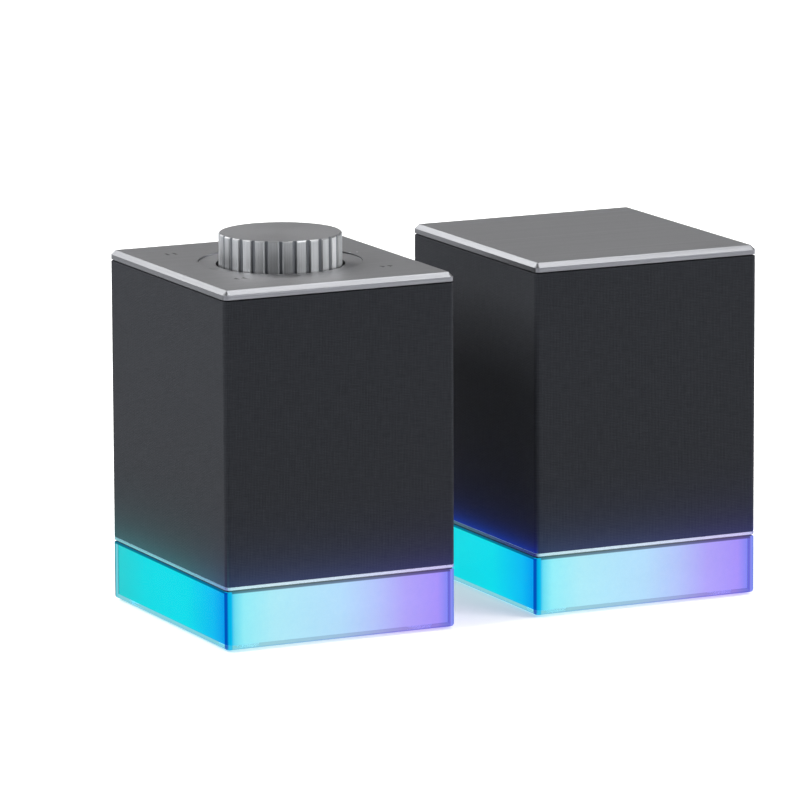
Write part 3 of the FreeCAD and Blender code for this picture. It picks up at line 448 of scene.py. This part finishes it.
def deck_plastic(side):
    """Black moulding with painted glow of the base's light, strongest on its front lip."""
    look = Look(f"deck_plastic_{side}", Roughness=0.5, Specular_IOR_Level=0.4)
    grain = look.noise(look.place(), scale=2600, detail=3, roughness=0.6)
    look.set(Base_Color=look.mix(grain, srgb(26, 26, 28), srgb(36, 36, 38)))
    # Painted glow, strong on the front and faint on the sides.
    painted_glow = look.spread(look.sideways(), 0.3, 0.7, 0.16, 0.02)
    look.glow(light_colour(look, f"{side}_mid_deck"), painted_glow)
    look.set(Normal=look.bump(grain, depth=0.02 * MM))
    return look.material


def bright_trim(side):
    """Polished metal line with painted reflection and painted glow of the light under it."""
    look = Look(f"bright_trim_{side}", Metallic=1.0)
    sideways = look.sideways()
    polish = look.brushing((120, 120, 4000), detail=3)
    metal = look.mix(polish, srgb(196, 202, 210), srgb(226, 230, 236))
    tint = light_colour(look, f"{side}_trim_ring")
    # Painted reflection: the light's colour is mixed into the metal, most on the sides.
    tinted = look.mix(look.spread(sideways, 0, 1, 0.4, 0.75), metal, tint)
    # Painted shade on the sides: light on the left speaker, deep on the right one, whose left side the left
    # speaker shades.
    painted_shade, painted_glow = (0.3, 0.16) if side == "left" else (0.85, 0.03)
    look.set(Base_Color=look.mix(look.times(sideways, painted_shade), tinted, srgb(10, 50, 90)))
    look.set(Roughness=look.vary(polish, 0.22, 0.34))
    # Painted glow of the light, strongest on the front.
    look.glow(look.mix(0.6, tint, srgb(236, 240, 248)), look.spread(sideways, 0, 1, 0.26, painted_glow))
    return look.material


def plain_weave(look, around, up):
    """Height of a plain weave, where yarns pass over and under each other in turn."""
    turn = math.pi / THREAD_PITCH
    warp = look.maths("SINE", look.times(around, turn))
    weft = look.maths("SINE", look.times(up, turn))
    cross = look.times(look.times(warp, weft), 0.5)
    over = look.maths("MULTIPLY_ADD", look.unsigned(warp), 0.5, cross)
    under = look.maths("SUBTRACT", look.times(look.unsigned(weft), 0.5), cross)
    return look.maths("MAXIMUM", over, under)


def uneven_yarn(look, around, up):
    """Thick and thin places of the yarns in both directions, from 0 to 1."""
    along = 160
    across = 2200
    threads = look.vector(around, up)
    level = look.noise(look.stretch(threads, (along, across, 1)), scale=1)
    upright = look.noise(look.stretch(threads, (across, along, 1)), scale=1)
    return look.spread(look.maths("ADD", level, upright), 0.75, 1.25)


def painted_spill_on_fabric(look, side):
    """Painted glow at the foot of the fabric, standing in for the base's light from below, bluest in the gap
    between the speakers.
    """
    node = f"{side}_fabric_sleeve"
    in_gap_share, side_blue = (0.0, 0.1) if side == "left" else (1.0, 0.95)
    foot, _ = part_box(node)
    height = look.split(look.place((0, 0, foot.z)))[2]
    fade = look.maths("POWER", math.e, look.times(height, -1 / SPILL_HEIGHT))
    is_side = look.spread(look.sideways(), 0.3, 0.7)
    in_gap = look.times(is_side, in_gap_share)
    blue = look.mix(in_gap, srgb(36, 60, 210), srgb(0, 44, 206))
    colour = look.mix(look.blend(is_side, 0.8, side_blue), light_colour(look, node), blue)
    far = look.times(fade, look.blend(in_gap, 0.13, 0.09))
    near = look.times(look.maths("POWER", fade, 3.0), look.times(in_gap, 0.4))
    look.glow(colour, look.maths("ADD", far, near))


def charcoal_fabric(side):
    """Plain weave of charcoal yarn, with painted shade in the hollows of its weave and painted glow of the
    base at its foot.
    """
    look = Look(f"charcoal_fabric_{side}", Roughness=0.85, Specular_IOR_Level=0.2)
    around, up, _ = look.split(look.add("UVMap", uv_map="Threads").outputs[0])
    weave = plain_weave(look, around, up)
    yarn = look.mix(uneven_yarn(look, around, up), srgb(43, 45, 50), srgb(51, 53, 58))
    # Painted shade: the low places of the weave are darker.
    depth = look.spread(weave, 0.2, 0.9, 0.7, 1.0)
    look.set(Base_Color=look.tinted(yarn, depth))
    look.set(Sheen_Weight=0.05, Sheen_Roughness=0.5)
    look.set(Normal=look.bump(weave, depth=0.06 * MM))
    painted_spill_on_fabric(look, side)
    return look.material


def moulded_plastic(name, dark, light, roughness):
    """Matt moulding with a fine grain and a slightly cloudy colour."""
    look = Look(name, Specular_IOR_Level=0.4)
    grain = look.noise(look.place(), scale=2600, detail=3, roughness=0.6)
    cloud = look.noise(look.place(), scale=60)
    look.set(Base_Color=look.mix(cloud, dark, light))
    look.set(Roughness=look.vary(grain, roughness - 0.06, roughness + 0.08))
    look.set(Normal=look.bump(grain, depth=0.02 * MM))
    return look.material


def circuit_board():
    """Green solder mask over faint copper tracks."""
    look = Look("circuit_board", Roughness=0.35)
    x, y, _ = look.split(look.place(scale=(700, 700, 700)))
    track = look.maths("GREATER_THAN", look.maths("SINE", x), 0.55)
    cross = look.maths("GREATER_THAN", look.maths("SINE", look.times(y, 0.7)), 0.8)
    patches = look.maths("GREATER_THAN", look.noise(look.place(), scale=120, detail=0), 0.52)
    copper = look.times(look.maths("MAXIMUM", track, cross), patches)
    look.set(Base_Color=look.mix(copper, srgb(14, 66, 40), srgb(32, 104, 62)))
    look.set(Normal=look.bump(copper, depth=0.03 * MM))
    return look.material


def plain_metal(name, dark, light, roughness, grain_per_metre=(900, 900, 900)):
    """Bare or plated metal with a fine grain that can run in one direction."""
    look = Look(name, Metallic=1.0)
    grain = look.brushing(grain_per_metre, detail=4, roughness=0.6)
    cloud = look.noise(look.place(), scale=90)
    look.set(Base_Color=look.mix(cloud, dark, light))
    look.set(Roughness=look.vary(grain, roughness - 0.07, roughness + 0.09))
    look.set(Normal=look.bump(grain, depth=0.006 * MM))
    return look.material


def copper_winding():
    """Enamelled wire wound round Y, with painted shade between its turns."""
    wire = 0.16 * MM
    look = Look("copper", Metallic=1.0, Roughness=0.3)
    along = look.split(look.place())[1]
    turns = look.unsigned(look.maths("SINE", look.times(along, math.pi / wire)))
    # Painted shade between the turns, lighter on their crests.
    look.set(Base_Color=look.mix(turns, srgb(120, 58, 28), srgb(214, 128, 74)))
    look.set(Normal=look.bump(turns, depth=0.06 * MM))
    return look.material


def pressed_paper(node):
    """Dark pulp with faint fibres that run outwards from the driver's axis."""
    look = Look(f"paper_cone_{node}", Roughness=0.9, Specular_IOR_Level=0.2)
    x, y, z = look.split(look.place(middle(node)))
    angle = look.maths("ARCTAN2", z, x)
    fibres = look.noise(look.vector(angle, y), scale=40, detail=4, roughness=0.7)
    look.set(Base_Color=look.mix(fibres, srgb(38, 38, 40), srgb(66, 65, 64)))
    look.set(Normal=look.bump(fibres, depth=0.05 * MM))
    return look.material


def dipped_cloth():
    """Open weave stiffened with amber resin."""
    look = Look("woven_spider", Roughness=0.8)
    x, _, z = look.split(look.place())
    turn = math.pi / (0.5 * MM)
    upright = look.maths("SINE", look.times(x, turn))
    level = look.maths("SINE", look.times(z, turn))
    threads = look.times(upright, level)
    look.set(Base_Color=look.mix(look.spread(threads, -1, 1), srgb(150, 118, 66), srgb(206, 174, 116)))
    look.set(Normal=look.bump(threads, depth=0.08 * MM))
    return look.material


def wire_jacket(side):
    """PVC jackets: red to the left of the wiring's middle and black to its right."""
    look = Look(f"wire_jacket_{side}", Roughness=0.45)
    x = look.split(look.place(middle(f"{side}_wiring")))[0]
    scuff = look.noise(look.place(), scale=1500, detail=3)
    colour = look.mix(look.maths("GREATER_THAN", x, 0), srgb(150, 22, 24), srgb(26, 26, 28))
    look.set(Base_Color=look.mix(look.times(scuff, 0.15), colour, srgb(110, 108, 108)))
    look.set(Normal=look.bump(scuff, depth=0.02 * MM))
    return look.material


def printed_ink(name, dark, light):
    """Screen-printed ink with slightly ragged cover."""
    look = Look(name, Roughness=0.6, Specular_IOR_Level=0.3)
    cover = look.noise(look.place(), scale=5000, detail=3)
    look.set(Base_Color=look.mix(cover, dark, light))
    return look.material


def paint(node, material):
    """Gives a CAD node one finish."""
    slots = nodes[node].data.materials
    slots.clear()
    slots.append(material)


def paint_speaker(side, shared):
    """Paints one speaker: the finishes that both share, then those that depend on its own light or size."""
    for part, material in shared.items():
        paint(f"{side}_{part}", material)
    paint(f"{side}_light_cover", clear_acrylic(side))
    paint(f"{side}_light_diffuser", opal_acrylic(side))
    paint(f"{side}_feet", silicone_with_painted_glow(side))
    paint(f"{side}_mid_deck", deck_plastic(side))
    paint(f"{side}_trim_ring", bright_trim(side))
    paint(f"{side}_wiring", wire_jacket(side))
    for part in ("driver_cone", "dust_cap"):
        node = f"{side}_{part}"
        paint(node, pressed_paper(node))


def paint_everything():
    """Gives every CAD node its finish: those that come in both speakers, then those that come once."""
    black = moulded_plastic("black_plastic", srgb(26, 26, 28), srgb(34, 34, 36), 0.5)
    rubber = moulded_plastic("rubber_roll", srgb(22, 22, 23), srgb(32, 32, 33), 0.7)
    ferrite = moulded_plastic("ferrite", srgb(38, 38, 41), srgb(54, 54, 57), 0.65)
    package = moulded_plastic("led", srgb(226, 226, 214), srgb(240, 240, 232), 0.3)
    board = circuit_board()
    steel = plain_metal("zinc_steel", srgb(158, 160, 164), srgb(190, 192, 196), 0.36)
    nickel = plain_metal("socket_shell", srgb(176, 177, 180), srgb(204, 205, 207), 0.3, (200, 4000, 4000))
    coated = plain_metal("radiator_steel", srgb(52, 52, 55), srgb(66, 66, 70), 0.5)
    shared = {
        "light_board": board,
        "leds": package,
        "cabinet": black,
        "grille_shell": black,
        "top_plate": brushed_plate(),
        "screws": steel,
        "driver_basket": steel,
        "driver_magnet": ferrite,
        "motor_steel": steel,
        "voice_coil": copper_winding(),
        "driver_spider": dipped_cloth(),
        "driver_surround": rubber,
        "radiator_surround": rubber,
        "radiator_plate": coated,
        "socket_panel": black,
        "link_socket": nickel,
    }
    for side in SIDES:
        paint_speaker(side, shared)
    single = {
        "left_amplifier_board": board,
        "right_link_board": board,
        "left_control_board": board,
        "left_usb_socket": nickel,
        "left_aux_jack": black,
        "volume_knob": turned_knob("volume_knob"),
        "knob_insert": black,
        "encoder_body": black,
        "encoder_rotor": black,
        "encoder_shaft": steel,
    }
    for node, material in single.items():
        paint(node, material)


# ---- pieces built here ------------------------------------------------------------------------


def new_piece(name, mesh, material):
    piece = bpy.data.objects.new(name, mesh)
    bpy.context.scene.collection.objects.link(piece)
    mesh.materials.append(material)
    return piece


def finished_mesh(name, bm):
    mesh = bpy.data.meshes.new(name)
    bm.to_mesh(mesh)
    bm.free()
    return mesh


def box_mesh(name, low, high):
    bm = bmesh.new()
    bmesh.ops.create_cube(bm, size=1.0)
    size = high - low
    for vert in bm.verts:
        vert.co = low + Vector((size[i] * (vert.co[i] + 0.5) for i in range(3)))
    return finished_mesh(name, bm)


def prism_mesh(name, outlines, low, high):
    """Flat-topped prisms over closed outlines."""
    bm = bmesh.new()
    for outline in outlines:
        rings = [[bm.verts.new((x, y, z)) for x, y in outline] for z in (low, high)]
        bm.faces.new(rings[0])
        bm.faces.new(rings[1])
        for i in range(len(outline)):
            j = (i + 1) % len(outline)
            bm.faces.new((rings[0][i], rings[0][j], rings[1][j], rings[1][i]))
    bmesh.ops.recalc_face_normals(bm, faces=bm.faces)
    return finished_mesh(name, bm)


def rounded_path(half_x, half_y, radius):
    """A rounded rectangle from the middle of its back: (place, outward normal, distance), and its length."""
    path = [(Vector((0, half_y)), Vector((0, 1)))]
    corners = [(-1, 1, 90), (-1, -1, 180), (1, -1, 270), (1, 1, 0)]
    for i, j, start in corners:
        centre = Vector((i * (half_x - radius), j * (half_y - radius)))
        for step in range(ARC_STEPS + 1):
            angle = math.radians(start + 90 * step / ARC_STEPS)
            out = Vector((math.cos(angle), math.sin(angle)))
            path.append((centre + out * radius, out))
    result = []
    distance = 0.0
    before = path[0][0]
    for point, out in path:
        distance += (point - before).length
        before = point
        result.append((point, out, distance))
    return result, distance + (path[0][0] - before).length


def rolled_profile(bottom, top, roll):
    """Section of the sleeve's wall, with a round hem at each end: (inset from the outside, height)."""
    profile = []
    for z, start in ((bottom + roll, 180), (top - roll, 0)):
        for step in range(ARC_STEPS + 1):
            angle = math.radians(start + 180 * step / ARC_STEPS)
            profile.append((roll + roll * math.cos(angle), z + roll * math.sin(angle)))
    return profile


def distances_along(profile):
    """Distance of each point of a closed profile from its first, and last the whole way round."""
    distances = [0.0]
    for (inset, z), (inset_next, z_next) in zip(profile, profile[1:] + profile[:1]):
        distances.append(distances[-1] + math.hypot(inset_next - inset, z_next - z))
    return distances


def sleeve_mesh(side):
    """Fabric tube with rolled hems and a butt seam up the middle of its back."""
    node = f"{side}_fabric_sleeve"
    low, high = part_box(node)
    shell_low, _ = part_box(f"{side}_grille_shell")
    thickness = (shell_low.x - low.x) * SLEEVE_SHARE
    profile = rolled_profile(low.z, high.z, thickness / 2)
    travel = distances_along(profile)
    half = half_size(node)
    path, length = rounded_path(half.x, half.y, SLEEVE_CORNER)
    centre = middle(node).xy
    bm = bmesh.new()
    threads = bm.loops.layers.uv.new("Threads")
    rings = []
    for inset, z in profile:
        places = [centre + point - out * inset for point, out, _ in path]
        rings.append([bm.verts.new((x, y, z)) for x, y in places])
    for row, (ring, ring_next) in enumerate(zip(rings, rings[1:] + rings[:1])):
        row_start, row_end = travel[row], travel[row + 1]
        for i in range(len(path)):
            j = (i + 1) % len(path)
            face = bm.faces.new((ring[i], ring[j], ring_next[j], ring_next[i]))
            start = path[i][2]
            end = path[j][2] if j else length
            is_flat_wall = min(end - start, row_end - row_start) > SLEEVE_CORNER
            face.smooth = not is_flat_wall
            corners = ((start, row_start), (end, row_start), (end, row_end), (start, row_end))
            for loop, uv in zip(face.loops, corners):
                loop[threads].uv = uv
    bmesh.ops.recalc_face_normals(bm, faces=bm.faces)
    return finished_mesh(f"{side}_sleeve", bm)


def cut_with(piece, cutter):
    """Cuts one piece with another and removes the cutter."""
    cut = piece.modifiers.new("cut", "BOOLEAN")
    cut.object = cutter
    cut.solver = "EXACT"
    evaluated = piece.evaluated_get(bpy.context.evaluated_depsgraph_get())
    mesh = bpy.data.meshes.new_from_object(evaluated)
    piece.modifiers.clear()
    piece.data = mesh
    bpy.data.objects.remove(cutter)


def build_sleeve(side):
    """The fabric sleeve, cut out round the socket panel at its back."""
    fabric = charcoal_fabric(side)
    sleeve = new_piece(f"{side}_sleeve", sleeve_mesh(side), fabric)
    panel_low, panel_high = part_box(f"{side}_socket_panel")
    margin = Vector((0.15, 4, 0.15)) * MM
    opening = box_mesh("cutter", panel_low - margin, panel_high + margin)
    cutter = new_piece("cutter", opening, fabric)
    bpy.context.view_layer.update()
    cut_with(sleeve, cutter)
    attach(sleeve, f"{side}_speaker")
    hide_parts(f"{side}_fabric_sleeve")


def arrow(x, y, direction):
    """Outline of an arrowhead that points along X."""
    half_x = ARROW_HALF_WIDTH * direction
    half_y = MARK_HALF_LENGTH
    return [(x - half_x, y - half_y), (x + half_x, y), (x - half_x, y + half_y)]


def bar(x, y):
    left, right = x - BAR_HALF_WIDTH, x + BAR_HALF_WIDTH
    front, back = y - MARK_HALF_LENGTH, y + MARK_HALF_LENGTH
    return [(left, front), (right, front), (right, back), (left, back)]


def disc(x, y, radius, steps=20):
    turns = [2 * math.pi * step / steps for step in range(steps)]
    return [(x + radius * math.cos(turn), y + radius * math.sin(turn)) for turn in turns]


def print_on_plate(name, outlines, ink):
    """Thin ink on the left plate's top face."""
    _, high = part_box("left_top_plate")
    mesh = prism_mesh(name, outlines, high.z - INK_HEIGHT, high.z + INK_HEIGHT)
    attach(new_piece(name, mesh, ink), "left_speaker")


def build_plate_marks():
    """Touch marks near the left plate's corners and two pale dots beside the knob."""
    low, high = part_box("left_top_plate")
    centre = middle("left_top_plate").xy
    left = low.x + MARK_FROM_SIDE
    right = high.x - MARK_FROM_SIDE
    front = low.y + ARROW_FROM_FRONT
    back = high.y - BAR_FROM_BACK
    inwards = 0.5 * MM
    beside_knob = centre + DOT_OFFSET
    marks = []
    dots = []
    for step in (-PAIR_HALF_GAP, PAIR_HALF_GAP):
        marks.append(arrow(left + inwards + step, front, -1))
        marks.append(arrow(right + step, front, 1))
        marks.append(bar(left + step, back))
        dots.append(disc(beside_knob.x + step, beside_knob.y, DOT_RADIUS))
    print_on_plate("left_touch_marks", marks, printed_ink("dark_ink", srgb(40, 40, 42), srgb(58, 58, 60)))
    pale = printed_ink("pale_ink", srgb(176, 176, 178), srgb(206, 206, 208))
    print_on_plate("left_indicator_dots", dots, pale)


# ---- stage, lights and camera -----------------------------------------------------------------


def build_floor():
    """Pale floor that the camera sees lighter than the pieces do."""
    bm = bmesh.new()
    bmesh.ops.create_grid(bm, x_segments=2, y_segments=2, size=FLOOR_REACH)
    look = Look("floor", Roughness=0.8, Specular_IOR_Level=0.1)
    mottle = look.noise(look.place(), scale=3)
    pale = look.mix(mottle, srgb(240, 240, 241), srgb(244, 244, 245))
    seen = look.add("LightPath").outputs["Is Camera Ray"]
    look.set(Base_Color=look.mix(seen, srgb(200, 201, 204), pale))
    look.glow(srgb(255, 255, 255), look.times(seen, 0.35))
    new_piece("floor", finished_mesh("floor", bm), look.material)


def add_softbox(name, place, aim, size, energy):
    light = bpy.data.lights.new(name, "AREA")
    light.shape = "RECTANGLE"
    light.size, light.size_y = size
    light.energy = energy
    lamp = bpy.data.objects.new(name, light)
    lamp.location = place
    lamp.rotation_mode = "QUATERNION"
    lamp.rotation_quaternion = (Vector(aim) - Vector(place)).to_track_quat("-Z", "Y")
    bpy.context.scene.collection.objects.link(lamp)


def light_studio():
    """Soft light from the left and above, over an even pale surround."""
    world = bpy.data.worlds.new("studio")
    world.use_nodes = True
    background = world.node_tree.nodes["Background"]
    background.inputs["Color"].default_value = (0.95, 0.97, 1.0, 1.0)
    background.inputs["Strength"].default_value = 0.06
    bpy.context.scene.world = world
    target = (0, 0, 0.08)
    behind = (0.4, 2.2, 0)
    add_softbox("key", (-1.87, 0.33, 1.6), target, (1.3, 1.3), 57)
    add_softbox("top", (0.8, -0.4, 2.1), target, (0.9, 0.9), 15)
    add_softbox("fill", (1.35, -1.9, 1.35), target, (1.9, 1.2), 40)
    add_softbox("side", (1.9, 0.0, 0.5), target, (0.5, 0.9), 14)
    add_softbox("rear", (-0.5, 2.0, 1.1), target, (1.0, 0.7), 7)
    add_softbox("backdrop", (0.3, 1.9, 1.6), behind, (2.4, 1.2), 40)


def place_camera():
    """Camera at its distance from the target, looking back at it and rolled a little."""
    level = math.cos(CAMERA_ELEVATION)
    back_x = math.sin(CAMERA_AZIMUTH) * level
    back_y = -math.cos(CAMERA_AZIMUTH) * level
    back = Vector((back_x, back_y, math.sin(CAMERA_ELEVATION)))
    right = Vector((0, 0, 1)).cross(back).normalized()
    up = back.cross(right)
    cosine = math.cos(CAMERA_ROLL)
    sine = math.sin(CAMERA_ROLL)
    rolled_right = right * cosine + up * sine
    rolled_up = up * cosine - right * sine
    data = bpy.data.cameras.new("camera")
    data.lens = CAMERA_LENS
    data.sensor_width = CAMERA_SENSOR
    data.clip_start = 0.1
    data.clip_end = 30.0
    camera = bpy.data.objects.new("camera", data)
    bpy.context.scene.collection.objects.link(camera)
    axes = Matrix((rolled_right, rolled_up, back)).transposed().to_4x4()
    camera.matrix_world = Matrix.Translation(CAMERA_TARGET + back * CAMERA_DISTANCE) @ axes
    bpy.context.scene.camera = camera


paint_everything()
for side in SIDES:
    build_sleeve(side)
build_plate_marks()
build_floor()
light_studio()
place_camera()
bpy.context.scene.view_settings.view_transform = "Standard"
